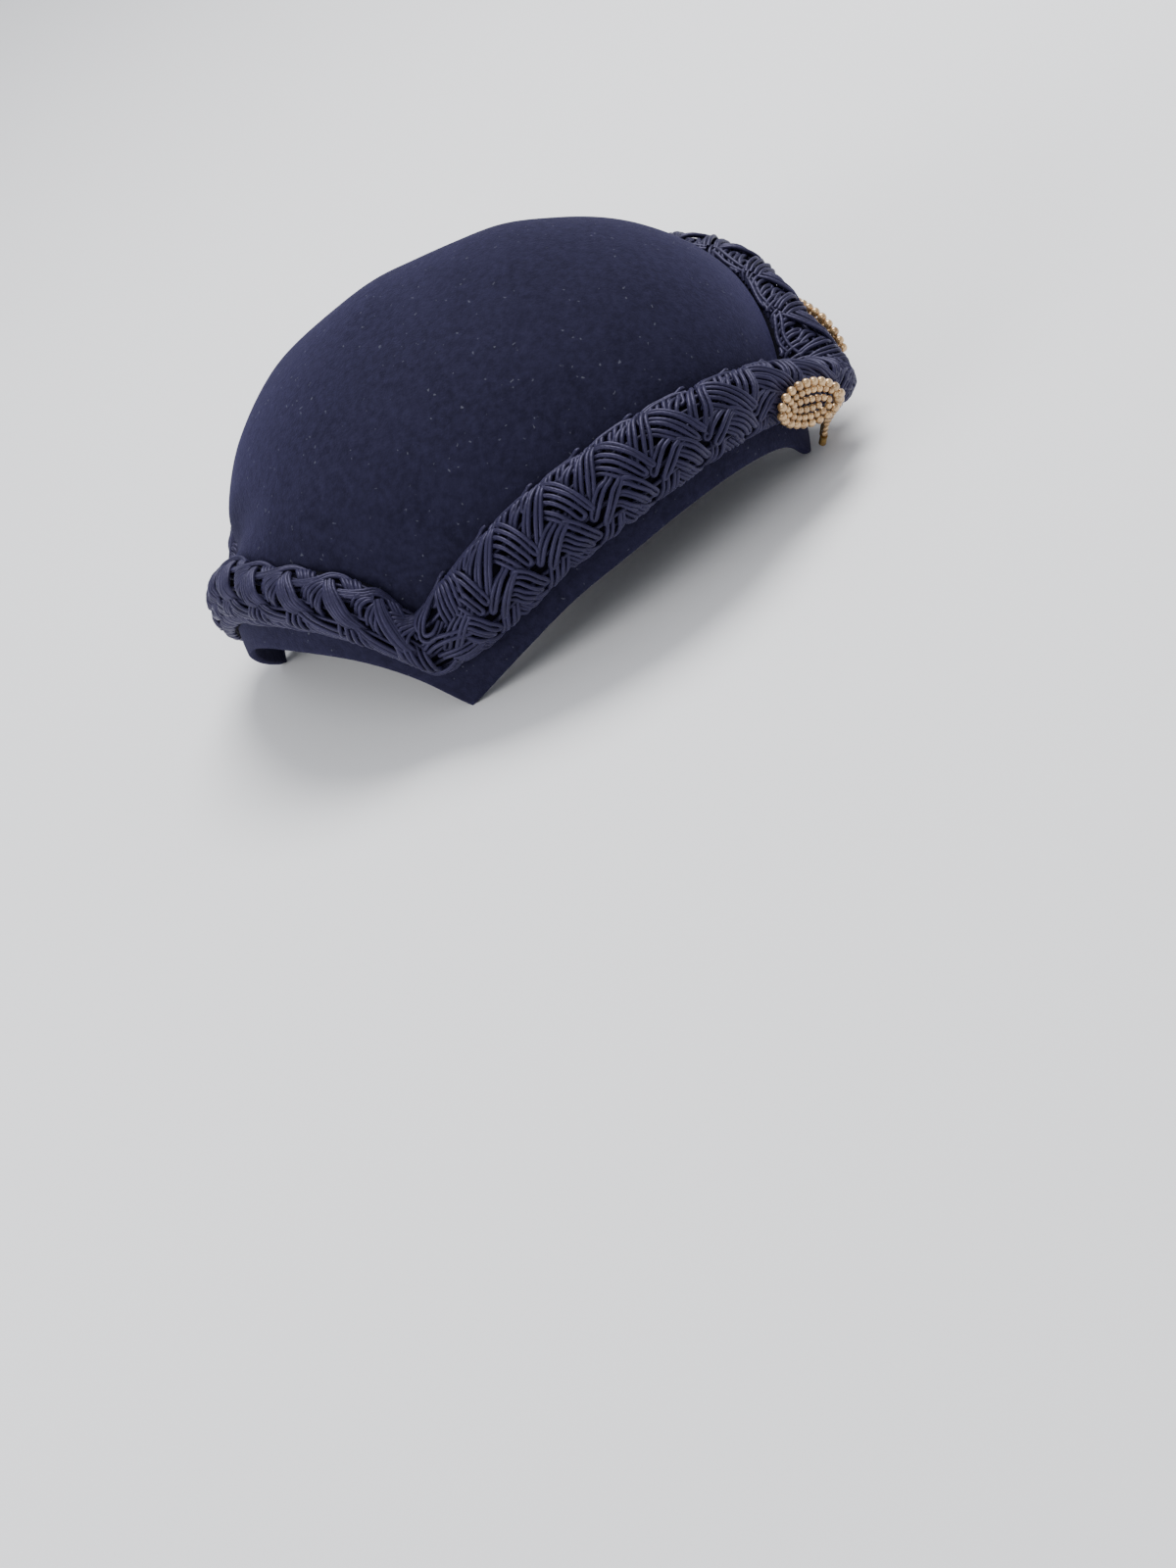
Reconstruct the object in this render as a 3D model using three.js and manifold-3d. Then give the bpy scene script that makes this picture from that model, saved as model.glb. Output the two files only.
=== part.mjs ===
// A capulet: a small felt cap with four points, a corded trim above its hem and two pearl scrolls.
//
// Millimetres, +Z up. The front of the cap faces -Y and the wearer's right is -X.
// It stands on its four points: front, back and one on each side.
// Every place on the cap is given by its turn, the angle in degrees from the front towards
// the wearer's right, and either a rise, the angle above the base plane, or a height.

import * as THREE from "three";
import { mergeVertices, mergeGeometries } from "three/addons/utils/BufferGeometryUtils.js";
import Module from "manifold-3d";

const wasm = await Module();
wasm.setup();

// ---- driving dimensions ----

const FELT = 2.4; // thickness of the felt wall
const PLAN_POWER = 2.1; // 2 is an ellipse in plan, more is squarer
const SIDE_POINT_TURN = 98; // where the side points stand
const POINT_BLUNT = 1.2; // half the turn over which each point is blunt
const SEAT_GAP = 0.35; // between the trim and the felt, and the pearls and the trim
const BEAD_OUTER = 3.1; // diameters of the two sizes of pearl
const BEAD_INNER = 2.5;
const THREAD = 0.9; // diameter of the thread through the pearls
const FRONT_STEPS = 20; // sections between the front point and a side point
const REAR_STEPS = 20; // sections between a side point and the back point
const ROWS = 13; // rows of faces from the hem to the top
const TRIM_OUTER_STEPS = 9; // faces across the trim's round side
const TRIM_SEAT_STEPS = 4; // faces across the side that lies on the felt

// The dome's reach from the middle of its base, at each rise.
const DOME = [
  { rise: 0, front: 96, back: 95.5, side: 78 },
  { rise: 15, front: 102.5, back: 98, side: 84 },
  { rise: 30, front: 113, back: 98.5, side: 92.5 },
  { rise: 45, front: 115, back: 99, side: 98.5 },
  { rise: 60, front: 112.5, back: 101, side: 102 },
  { rise: 75, front: 110, back: 103.5, side: 104.5 },
  { rise: 90, front: 106.5, back: 106.5, side: 106.5 },
];

// The hem's height, and the trim's edges and thickness. One list for the arch in front of a side
// point and one for the arch behind it.
const FRONT_ARCH = [
  { turn: 0, hem: 0, low: 9.5, top: 30, thick: 20.5 },
  { turn: 5, hem: 4, low: 13, top: 34.5, thick: 18 },
  { turn: 11, hem: 11, low: 18.5, top: 40, thick: 14 },
  { turn: 20, hem: 18, low: 26, top: 46.5, thick: 11.2 },
  { turn: 33, hem: 24, low: 32.5, top: 53.5, thick: 10.8 },
  { turn: 47, hem: 26, low: 35, top: 58, thick: 11.5 },
  { turn: 60, hem: 24, low: 33.5, top: 57.5, thick: 11.5 },
  { turn: 71, hem: 20.5, low: 30, top: 55, thick: 11 },
  { turn: 83, hem: 12.5, low: 22.5, top: 49, thick: 11 },
  { turn: SIDE_POINT_TURN, hem: 0, low: 15.5, top: 37, thick: 8.5 },
];
const REAR_ARCH = [
  { turn: SIDE_POINT_TURN, hem: 0, low: 15.5, top: 37, thick: 8.5 },
  { turn: 103, hem: 13, low: 24.5, top: 47.5, thick: 9 },
  { turn: 109, hem: 22, low: 33, top: 53, thick: 9.5 },
  { turn: 117, hem: 28.5, low: 39, top: 56.5, thick: 9.5 },
  { turn: 133, hem: 32.5, low: 42, top: 58.5, thick: 9 },
  { turn: 147, hem: 29.5, low: 39, top: 57.5, thick: 7.5 },
  { turn: 160, hem: 20, low: 30, top: 50, thick: 6.5 },
  { turn: 172, hem: 7.5, low: 17.5, top: 39, thick: 6.5 },
  { turn: 180, hem: 0, low: 10, top: 33, thick: 6.5 },
];

// Where a pearl scroll lies on the trim. round is its middle's place on the trim's round side,
// from 0 at the lower edge to 1 at the upper, and the left scroll is sewn on a little lower; the
// next two turn millimetres into places. Towards the front point the scroll stands off the trim,
// by lift for each millimetre ahead.
const SCROLL = { turn: 14.6, round: 0.3, leftRound: 0.26, mmPerTurn: 1.95, mmRound: 36, lift: 0.08 };
// The two strings of a scroll as they lie: ahead is towards the front point, up is towards the
// crown. The outer one begins with its tail.
const OUTER_STRING = [
  { ahead: 18.6, up: -5.2 },
  { ahead: 15.8, up: -2.8 },
  { ahead: 15.2, up: 0.8 },
  { ahead: 13.8, up: 3.6 },
  { ahead: 11, up: 5.2 },
  { ahead: 7.6, up: 6.8 },
  { ahead: 3.6, up: 8.1 },
  { ahead: -1.2, up: 8.7 },
  { ahead: -7.2, up: 8.1 },
  { ahead: -12.6, up: 6.8 },
  { ahead: -16.4, up: 4.9 },
  { ahead: -17.6, up: 2.4 },
  { ahead: -15.2, up: -0.4 },
  { ahead: -10.4, up: -3 },
  { ahead: -4.6, up: -5.2 },
  { ahead: 1, up: -6.6 },
  { ahead: 5.6, up: -7 },
  { ahead: 9.2, up: -5.8 },
  { ahead: 10, up: -3.2 },
  { ahead: 7.6, up: -1 },
  { ahead: 4.4, up: -0.6 },
];
const INNER_STRING = [
  { ahead: 15.4, up: -1.8 },
  { ahead: 13.2, up: 0.4 },
  { ahead: 10.6, up: 1.9 },
  { ahead: 7, up: 3.8 },
  { ahead: 2.8, up: 5.2 },
  { ahead: -2.6, up: 5.8 },
  { ahead: -7.6, up: 5.2 },
  { ahead: -11.8, up: 3.8 },
  { ahead: -12.6, up: 1.6 },
  { ahead: -9, up: -0.9 },
  { ahead: -3.6, up: -2.6 },
  { ahead: 1.6, up: -3.4 },
  { ahead: 1, up: -1.2 },
  { ahead: -3, up: -0.2 },
  { ahead: -7, up: 0.8 },
  { ahead: -7.8, up: 2.6 },
  { ahead: -3.8, up: 3.2 },
  { ahead: -0.6, up: 2 },
];
// The tail's lower end, by the front point, measured from the middle of the cap's base.
const TAIL_END = { side: 2.4, ahead: 101, height: 2.3 };

// ---- the shape of the wall ----

/** A column of a table at any place, on a smooth curve through its rows. */
function smooth(table, key, column, at, flatEnd = false) {
  const last = table.length - 1;
  const slope = (i) => (table[i + 1][column] - table[i][column]) / (table[i + 1][key] - table[i][key]);
  const tangent = (i) => {
    if (i === 0) return slope(0);
    if (i === last) return flatEnd ? 0 : slope(last - 1);
    return (slope(i - 1) + slope(i)) / 2;
  };
  let i = 0;
  while (i < last - 1 && at >= table[i + 1][key]) i += 1;
  const step = table[i + 1][key] - table[i][key];
  const t = (at - table[i][key]) / step;
  const from = (1 + 2 * t) * (1 - t) ** 2 * table[i][column] + t * (1 - t) ** 2 * step * tangent(i);
  const to = t * t * (3 - 2 * t) * table[i + 1][column] + t * t * (t - 1) * step * tangent(i + 1);
  return from + to;
}

/** A point of the crown's outer surface. */
function crownPoint(turn, rise) {
  const angle = THREE.MathUtils.degToRad(turn);
  const ahead = Math.cos(angle);
  const aside = Math.sin(angle);
  const plan = (Math.abs(ahead) ** PLAN_POWER + Math.abs(aside) ** PLAN_POWER) ** (-1 / PLAN_POWER);
  const along = smooth(DOME, "rise", ahead >= 0 ? "front" : "back", rise, true);
  const across = smooth(DOME, "rise", "side", rise, true);
  const flat = Math.cos(THREE.MathUtils.degToRad(rise));
  const up = Math.sin(THREE.MathUtils.degToRad(rise));
  const reach = along * ahead * ahead + across * aside * aside;
  return new THREE.Vector3(-across * flat * plan * aside, -along * flat * plan * ahead, up * reach);
}

/** The rise at which the wall reaches a height. */
function riseAt(turn, height) {
  let low = -15;
  let high = 88;
  for (let i = 0; i < 30; i += 1) {
    const middle = (low + high) / 2;
    if (crownPoint(turn, middle).z < height) low = middle;
    else high = middle;
  }
  return (low + high) / 2;
}

/** The direction out of the crown's surface. */
function crownNormal(turn, rise) {
  if (rise > 89.9) return new THREE.Vector3(0, 0, 1);
  const here = crownPoint(turn, rise);
  const round = crownPoint(turn + 0.3, rise).sub(here);
  const up = crownPoint(turn, rise + 0.3).sub(here);
  return up.cross(round).normalize();
}

function arch(turn) {
  const around = Math.abs(turn);
  return around < SIDE_POINT_TURN ? FRONT_ARCH : REAR_ARCH;
}

/** The height of the hem, which is cut blunt at the four points. */
function hemHeight(turn) {
  const around = Math.abs(turn);
  const points = [0, SIDE_POINT_TURN, 180];
  if (points.some((point) => Math.abs(around - point) < POINT_BLUNT + 0.01)) return 0;
  return Math.max(0, smooth(arch(turn), "turn", "hem", around));
}

/** A point of the trim's round side. round runs from 0 at its lower edge to 1 at its upper. */
function trimPoint(turn, round) {
  const around = Math.abs(turn);
  const low = smooth(arch(turn), "turn", "low", around);
  const top = smooth(arch(turn), "turn", "top", around);
  const thick = smooth(arch(turn), "turn", "thick", around);
  const rise = riseAt(turn, low + ((top - low) * (1 - Math.cos(Math.PI * round))) / 2);
  const out = SEAT_GAP + thick * Math.sin(Math.PI * round);
  return crownPoint(turn, rise).addScaledVector(crownNormal(turn, rise), out);
}

/** A point off the trim's round side by a distance straight out of it. */
function offTrim(turn, round, distance) {
  const along = trimPoint(turn + 0.4, round).sub(trimPoint(turn - 0.4, round));
  const up = trimPoint(turn, round + 0.01).sub(trimPoint(turn, round - 0.01));
  return trimPoint(turn, round).addScaledVector(up.cross(along).normalize(), distance);
}

/** The turns at which the cap is cut into sections, all the way round from -180. */
function sectionTurns() {
  const turns = [];
  for (let i = 0; i < FRONT_STEPS; i += 1) turns.push((SIDE_POINT_TURN * i) / FRONT_STEPS);
  for (let i = 0; i <= REAR_STEPS; i += 1) {
    turns.push(SIDE_POINT_TURN + ((180 - SIDE_POINT_TURN) * i) / REAR_STEPS);
  }
  for (const point of [0, SIDE_POINT_TURN]) turns.push(point + POINT_BLUNT);
  for (const point of [SIDE_POINT_TURN, 180]) turns.push(point - POINT_BLUNT);
  turns.sort((a, b) => a - b);
  const left = turns.filter((turn) => turn > 0 && turn < 180).map((turn) => -turn);
  return [...left.reverse(), ...turns];
}

const TURNS = sectionTurns();

// ---- meshes ----

/** The two triangles of a four-sided face, split across its shorter diagonal. */
function splitFace(points, a, b, c, d) {
  const short = points[a].distanceTo(points[c]) < points[b].distanceTo(points[d]);
  return short ? [a, b, c, a, c, d] : [a, b, d, b, c, d];
}

/** A closed skin over rings of points that follow each other, each ring with the same count. */
function ringSkin(rings) {
  const count = rings[0].length;
  const points = rings.flat();
  const positions = points.flatMap((point) => point.toArray());
  const index = [];
  rings.forEach((ring, i) => {
    const next = (i + 1) % rings.length;
    for (let j = 0; j < count; j += 1) {
      const k = (j + 1) % count;
      index.push(...splitFace(points, i * count + j, i * count + k, next * count + k, next * count + j));
    }
  });
  const geometry = new THREE.BufferGeometry();
  geometry.setAttribute("position", new THREE.Float32BufferAttribute(positions, 3));
  geometry.setIndex(index);
  return geometry;
}

/** The felt shell: its outer side, its inner side and the cut edge along the hem. */
function crownShell() {
  const points = [];
  const index = [];
  const count = TURNS.length;
  for (const depth of [0, FELT]) {
    for (let row = 0; row < ROWS; row += 1) {
      for (const turn of TURNS) {
        const hem = riseAt(turn, hemHeight(turn));
        const rise = hem + ((90 - hem) * row) / ROWS;
        const out = crownNormal(turn, rise);
        if (row === 0) out.setZ(0).normalize();
        points.push(crownPoint(turn, rise).addScaledVector(out, -depth));
      }
    }
    points.push(new THREE.Vector3(0, 0, DOME[DOME.length - 1].front - depth));
  }
  const inside = ROWS * count + 1;
  for (let i = 0; i < count; i += 1) {
    const k = (i + 1) % count;
    for (let row = 0; row < ROWS - 1; row += 1) {
      const low = row * count;
      const high = low + count;
      index.push(...splitFace(points, low + i, high + i, high + k, low + k));
      index.push(...splitFace(points, inside + low + k, inside + high + k, inside + high + i, inside + low + i));
    }
    const top = (ROWS - 1) * count;
    index.push(top + i, inside - 1, top + k);
    index.push(inside + top + k, 2 * inside - 1, inside + top + i);
    index.push(...splitFace(points, i, k, inside + k, inside + i));
  }
  const positions = points.flatMap((point) => point.toArray());
  const geometry = new THREE.BufferGeometry();
  geometry.setAttribute("position", new THREE.Float32BufferAttribute(positions, 3));
  geometry.setIndex(index);
  return geometry;
}

/** The corded trim as its outer form: a half-round roll all the way round, seated on the felt. */
function trimLoop() {
  const rings = TURNS.map((turn) => {
    const ring = [];
    for (let i = 0; i <= TRIM_OUTER_STEPS; i += 1) ring.push(trimPoint(turn, i / TRIM_OUTER_STEPS));
    const low = smooth(arch(turn), "turn", "low", Math.abs(turn));
    const top = smooth(arch(turn), "turn", "top", Math.abs(turn));
    for (let i = TRIM_SEAT_STEPS - 1; i > 0; i -= 1) {
      const rise = riseAt(turn, low + ((top - low) * i) / TRIM_SEAT_STEPS);
      ring.push(crownPoint(turn, rise).addScaledVector(crownNormal(turn, rise), SEAT_GAP));
    }
    return ring;
  });
  return ringSkin(rings);
}

/** A closed mesh as a solid that can be joined. */
function solid(geometry) {
  const bare = geometry.clone();
  bare.deleteAttribute("normal");
  bare.deleteAttribute("uv");
  const merged = mergeVertices(bare, 1e-4);
  const vertProperties = new Float32Array(merged.attributes.position.array);
  const triVerts = new Uint32Array(merged.index.array);
  return new wasm.Manifold(new wasm.Mesh({ numProp: 3, vertProperties, triVerts }));
}

/** A solid's mesh as a geometry. */
function toGeometry(manifold) {
  const mesh = manifold.getMesh();
  const geometry = new THREE.BufferGeometry();
  geometry.setAttribute("position", new THREE.BufferAttribute(new Float32Array(mesh.vertProperties), 3));
  geometry.setIndex(new THREE.BufferAttribute(new Uint32Array(mesh.triVerts), 1));
  return geometry;
}

/** Pearls on their thread along a path, joined into one solid. */
function beadString(points, diameter) {
  const curve = new THREE.CatmullRomCurve3(points, false, "centripetal");
  const count = Math.round(curve.getLength() / diameter);
  const section = new THREE.Shape();
  section.absarc(0, 0, THREAD / 2, 0, 2 * Math.PI, false);
  const thread = new THREE.ExtrudeGeometry(section, { steps: count, curveSegments: 2, extrudePath: curve });
  let joined = solid(thread);
  for (const centre of curve.getSpacedPoints(count)) {
    const bead = new THREE.SphereGeometry(diameter / 2, 6, 4).translate(centre.x, centre.y, centre.z);
    joined = joined.add(solid(bead));
  }
  return joined;
}

/** A pearl scroll with its tail, on the wearer's right for hand -1 and on the left for hand 1. */
function pearlScroll(hand) {
  const lay = (diameter) => (spot) =>
    offTrim(
      SCROLL.turn - spot.ahead / SCROLL.mmPerTurn,
      (hand < 0 ? SCROLL.round : SCROLL.leftRound) + spot.up / SCROLL.mmRound,
      diameter / 2 + SEAT_GAP + Math.max(0, SCROLL.lift * spot.ahead),
    );
  const tail = new THREE.Vector3(-TAIL_END.side, -TAIL_END.ahead, TAIL_END.height);
  const outer = OUTER_STRING.map(lay(BEAD_OUTER));
  const inner = INNER_STRING.map(lay(BEAD_INNER));
  outer.unshift(tail, tail.clone().lerp(outer[0], 0.5));
  const mirror = (point) => new THREE.Vector3(-hand * point.x, point.y, point.z);
  return toGeometry(beadString(outer.map(mirror), BEAD_OUTER).add(beadString(inner.map(mirror), BEAD_INNER)));
}

// ---- the cap ----

const navyFelt = new THREE.MeshStandardMaterial({ color: 0x14172b, roughness: 0.95, metalness: 0 });
const slateCord = new THREE.MeshStandardMaterial({ color: 0x1d2136, roughness: 0.6, metalness: 0 });
const champagnePearl = new THREE.MeshStandardMaterial({ color: 0xd8bf97, roughness: 0.3, metalness: 0 });

function piece(name, geometry, material) {
  const mesh = new THREE.Mesh(geometry, material);
  mesh.name = name;
  return mesh;
}

const group = new THREE.Group();
group.add(piece("crown", crownShell(), navyFelt));
group.add(piece("corded_trim", trimLoop(), slateCord));
group.add(piece("pearl_scroll_right", pearlScroll(-1), champagnePearl));
group.add(piece("pearl_scroll_left", pearlScroll(1), champagnePearl));

// The origin is the middle of the cap's footprint, on the surface that it stands on.
const box = new THREE.Box3().setFromObject(group);
group.position.set(-(box.min.x + box.max.x) / 2, -(box.min.y + box.max.y) / 2, -box.min.z);

export default group;
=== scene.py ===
"""A capulet: a small navy felt cap with four points, a corded trim and two pearl scrolls.

The frame is metres, +Z up. The front of the cap faces -Y and the wearer's right is -X. Tables
are in millimetres, about the middle of the cap's base. A place on the cap is given by its
turn, the angle in degrees from the front, positive towards the wearer's right, and its rise,
the angle above the base plane. A place on the trim is given by its run, the distance round
the trim from the front point, and its girth, from 0 at the lower edge to 1 at the upper.
"""

import math
import random

import bmesh
import bpy
import numpy as np
from bpy.props import FloatProperty, FloatVectorProperty, IntProperty, PointerProperty
from mathutils import Matrix, Vector


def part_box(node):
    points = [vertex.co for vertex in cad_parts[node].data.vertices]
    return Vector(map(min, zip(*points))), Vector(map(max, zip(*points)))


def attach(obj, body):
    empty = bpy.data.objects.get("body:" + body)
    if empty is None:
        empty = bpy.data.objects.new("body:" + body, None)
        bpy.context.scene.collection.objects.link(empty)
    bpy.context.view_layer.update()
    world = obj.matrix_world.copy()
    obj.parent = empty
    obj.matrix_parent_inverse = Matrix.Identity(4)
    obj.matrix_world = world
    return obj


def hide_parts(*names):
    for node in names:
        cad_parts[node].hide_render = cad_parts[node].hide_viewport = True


bl_info = {
    "name": "Felt capulet",
    "version": (1, 0, 0),
    "blender": (4, 5, 0),
    "location": "View3D > Sidebar > Capulet",
    "description": "Builds a small felt cap with a corded trim and pearl scrolls",
    "category": "Object",
}

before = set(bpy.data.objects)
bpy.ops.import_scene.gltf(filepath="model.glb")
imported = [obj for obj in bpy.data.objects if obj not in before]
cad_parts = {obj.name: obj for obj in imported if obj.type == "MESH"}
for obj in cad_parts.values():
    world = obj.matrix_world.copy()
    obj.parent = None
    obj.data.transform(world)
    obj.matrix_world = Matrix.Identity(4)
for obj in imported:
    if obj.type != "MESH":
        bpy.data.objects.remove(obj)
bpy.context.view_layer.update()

MM = 0.001
SIDE_TURN = 98.0  # where the side points stand
PLAN_POWER = 2.1  # 2 is an ellipse in plan, more is squarer
POINT_STEP = 1.2  # from a point's own section to the ones beside it
POINT_CLEAR = 0.9  # how much of that step is kept free of other sections
SEAT_GAP = 0.35  # between the trim and the felt

# The crown's reach from the middle of its base, by rise: rise, front, back, side.
DOME = np.array([
    (0, 96, 95.5, 78),
    (15, 102.5, 98, 84),
    (30, 113, 98.5, 92.5),
    (45, 115, 99, 98.5),
    (60, 112.5, 101, 102),
    (75, 110, 103.5, 104.5),
    (90, 106.5, 106.5, 106.5),
])
FRONT_REACH, BACK_REACH, SIDE_REACH = 1, 2, 3  # its columns
TOP_RISE = 89.5  # the highest at which the crown's normal is taken
NUDGE = 0.3  # the turn and rise over which it is taken
WALL_RISES = (-15.0, 88.0)  # the range in which a rise at a height is looked for
HALVINGS = 26  # of that range

# The hem and the trim in front of the side points: turn, hem, lower edge, upper edge, thickness.
FRONT_ARCH = np.array([
    (0, 0, 9.5, 30, 20.5),
    (5, 4, 13, 34.5, 18),
    (11, 11, 18.5, 40, 14),
    (20, 18, 26, 46.5, 11.2),
    (33, 24, 32.5, 53.5, 10.8),
    (47, 26, 35, 58, 11.5),
    (60, 24, 33.5, 57.5, 11.5),
    (71, 20.5, 30, 55, 11),
    (83, 12.5, 22.5, 49, 11),
    (98, 0, 15.5, 37, 8.5),
])
# The same behind the side points.
REAR_ARCH = np.array([
    (98, 0, 15.5, 37, 8.5),
    (103, 13, 24.5, 47.5, 9),
    (109, 22, 33, 53, 9.5),
    (117, 28.5, 39, 56.5, 9.5),
    (133, 32.5, 42, 58.5, 9),
    (147, 29.5, 39, 57.5, 7.5),
    (160, 20, 30, 50, 6.5),
    (172, 7.5, 17.5, 39, 6.5),
    (180, 0, 10, 33, 6.5),
])
HEM, LOWER, UPPER, THICK = 1, 2, 3, 4  # the columns of both


# ---- the shape of the cap ----


def table_curve(table, column, at, flat_end=False):
    """A column of a table at any place, on a smooth curve through its rows."""
    keys, values = table[:, 0], table[:, column]
    slopes = np.diff(values) / np.diff(keys)
    last = 0.0 if flat_end else slopes[-1]
    tangents = np.concatenate([[slopes[0]], (slopes[:-1] + slopes[1:]) / 2, [last]])
    i = np.clip(np.searchsorted(keys, at, side="right") - 1, 0, len(keys) - 2)
    step = keys[i + 1] - keys[i]
    t = (at - keys[i]) / step
    start = (1 + 2 * t) * (1 - t) ** 2 * values[i] + t * (1 - t) ** 2 * step * tangents[i]
    end = t * t * (3 - 2 * t) * values[i + 1] + t * t * (t - 1) * step * tangents[i + 1]
    return start + end


def arch_curve(turn, column):
    """A column of the hem and trim tables at any turn."""
    around = np.abs(turn)
    front = table_curve(FRONT_ARCH, column, np.minimum(around, SIDE_TURN))
    rear = table_curve(REAR_ARCH, column, np.maximum(around, SIDE_TURN))
    return np.where(around < SIDE_TURN, front, rear)


def crown_point(turn, rise):
    """Points of the crown's outer surface."""
    angle, climb = np.radians(turn), np.radians(rise)
    ahead, aside = np.cos(angle), np.sin(angle)
    plan = (np.abs(ahead) ** PLAN_POWER + np.abs(aside) ** PLAN_POWER) ** (-1 / PLAN_POWER)
    front = table_curve(DOME, FRONT_REACH, rise, True)
    back = table_curve(DOME, BACK_REACH, rise, True)
    along = np.where(ahead >= 0, front, back)
    across = table_curve(DOME, SIDE_REACH, rise, True)
    flat = np.cos(climb) * plan
    reach = along * ahead**2 + across * aside**2
    return np.stack([-across * flat * aside, -along * flat * ahead, np.sin(climb) * reach], -1)


def crown_normal(turn, rise):
    """Directions out of the crown's surface."""
    rise = np.minimum(rise, TOP_RISE)
    here = crown_point(turn, rise)
    up, on = crown_point(turn, rise + NUDGE) - here, crown_point(turn + NUDGE, rise) - here
    out = np.cross(up, on)
    return out / np.linalg.norm(out, axis=-1, keepdims=True)


def rise_at(turn, height):
    """The rise at which the crown's wall reaches a height."""
    low, high = (np.full(np.broadcast(turn, height).shape, end) for end in WALL_RISES)
    for _ in range(HALVINGS):
        middle = (low + high) / 2
        below = crown_point(turn, middle)[..., 2] < height
        low, high = np.where(below, middle, low), np.where(below, high, middle)
    return (low + high) / 2


def trim_point(turn, girth, lift=0.0, clear=0.0):
    """Points off the trim's round side by lift, and never nearer to the felt than clear."""
    low, top, thick = (arch_curve(turn, column) for column in (LOWER, UPPER, THICK))
    half = (top - low) / 2
    angle = np.pi * girth
    out_up, out_off = -thick * np.cos(angle), half * np.sin(angle)
    length = np.hypot(out_up, out_off)
    height = (low + top) / 2 - half * np.cos(angle) + lift * out_up / length
    off = np.maximum(thick * np.sin(angle) + lift * out_off / length, clear) + SEAT_GAP
    rise = rise_at(turn, height)
    return crown_point(turn, rise) + crown_normal(turn, rise) * off[..., None]


TURN_SCALE = np.linspace(0, 180, 721)
MIDDLE_LINE = trim_point(TURN_SCALE, np.full(len(TURN_SCALE), 0.5))
STEPS_ALONG = np.linalg.norm(np.diff(MIDDLE_LINE, axis=0), axis=1)
RUN_SCALE = np.concatenate([[0], np.cumsum(STEPS_ALONG)])
SIDE_RUN = float(np.interp(SIDE_TURN, TURN_SCALE, RUN_SCALE))
BACK_RUN = float(RUN_SCALE[-1])


def on_trim(run, girth, lift, clear):
    """Points by the trim, from their run, which is negative on the wearer's left."""
    run = np.asarray(run, float)
    around = np.abs(run)
    around = BACK_RUN - np.abs(BACK_RUN - around)
    side = np.where(np.abs(run) > BACK_RUN, -np.sign(run), np.sign(run))
    turn = side * np.interp(around, RUN_SCALE, TURN_SCALE)
    return trim_point(turn, np.asarray(girth, float), np.asarray(lift, float), clear)


# The row's origin is the middle of the cap's footprint, so the cap's own middle lies off it.
BACK_RISES = np.linspace(0, 60, 200)
BACK_EDGE = crown_point(np.full(len(BACK_RISES), 180.0), BACK_RISES)[:, 1].max()
MIDDLE = Vector((0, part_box("crown")[1][1] - BACK_EDGE * MM, 0))


def to_frame(points):
    """Millimetres about the cap's middle, as metres in the row's frame."""
    return [Vector(point) * MM + MIDDLE for point in np.asarray(points).reshape(-1, 3)]


# ---- meshes ----


def new_object(name, data, material=None):
    """A new object at the origin, in the scene."""
    obj = bpy.data.objects.new(name, data)
    bpy.context.scene.collection.objects.link(obj)
    if material:
        data.materials.append(material)
    return obj


def mesh_from(name, points, faces):
    """A smooth mesh from points and faces, which closes on itself and faces outwards."""
    mesh = bpy.data.meshes.new(name)
    mesh.from_pydata([tuple(point) for point in points], [], faces)
    mesh.validate()
    shape = bmesh.new()
    shape.from_mesh(mesh)
    if shape.calc_volume(signed=True) < 0:
        bmesh.ops.reverse_faces(shape, faces=shape.faces)
    shape.to_mesh(mesh)
    shape.free()
    mesh.shade_smooth()
    return mesh


def apply_tree(obj, tree, inputs, name):
    """Runs a Geometry Nodes tree on an object and returns the plain mesh that comes out."""
    modifier = obj.modifiers.new(tree.name, "NODES")
    modifier.node_group = tree
    for item in tree.interface.items_tree:
        if item.item_type == "SOCKET" and item.in_out == "INPUT" and item.name in inputs:
            modifier[item.identifier] = inputs[item.name]
    graph = bpy.context.evaluated_depsgraph_get()
    mesh = bpy.data.meshes.new_from_object(obj.evaluated_get(graph), depsgraph=graph)
    mesh.name = name
    source = obj.data
    bpy.data.objects.remove(obj)
    bpy.data.meshes.remove(source)
    return mesh


def path_mesh(name, paths, tones=None):
    """A mesh of bare paths, with a tone for each that its cord keeps."""
    points, edges, values = [], [], []
    for number, path in enumerate(paths):
        edges += [(len(points) + i, len(points) + i + 1) for i in range(len(path) - 1)]
        points += [tuple(point) for point in path]
        values += [tones[number] if tones else 0.5] * len(path)
    mesh = bpy.data.meshes.new(name)
    mesh.from_pydata(points, edges, [])
    mesh.attributes.new("tone", "FLOAT", "POINT").data.foreach_set("value", values)
    return mesh


# ---- geometry node trees ----

CORD_END = 0.25  # a cord's girth at its very ends
PEARL_STEPS = 12  # of a string's curve, from spot to spot
PEARL_SIZES = (0.95, 1.02)
PEARL_TONE_SEED = 11


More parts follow.
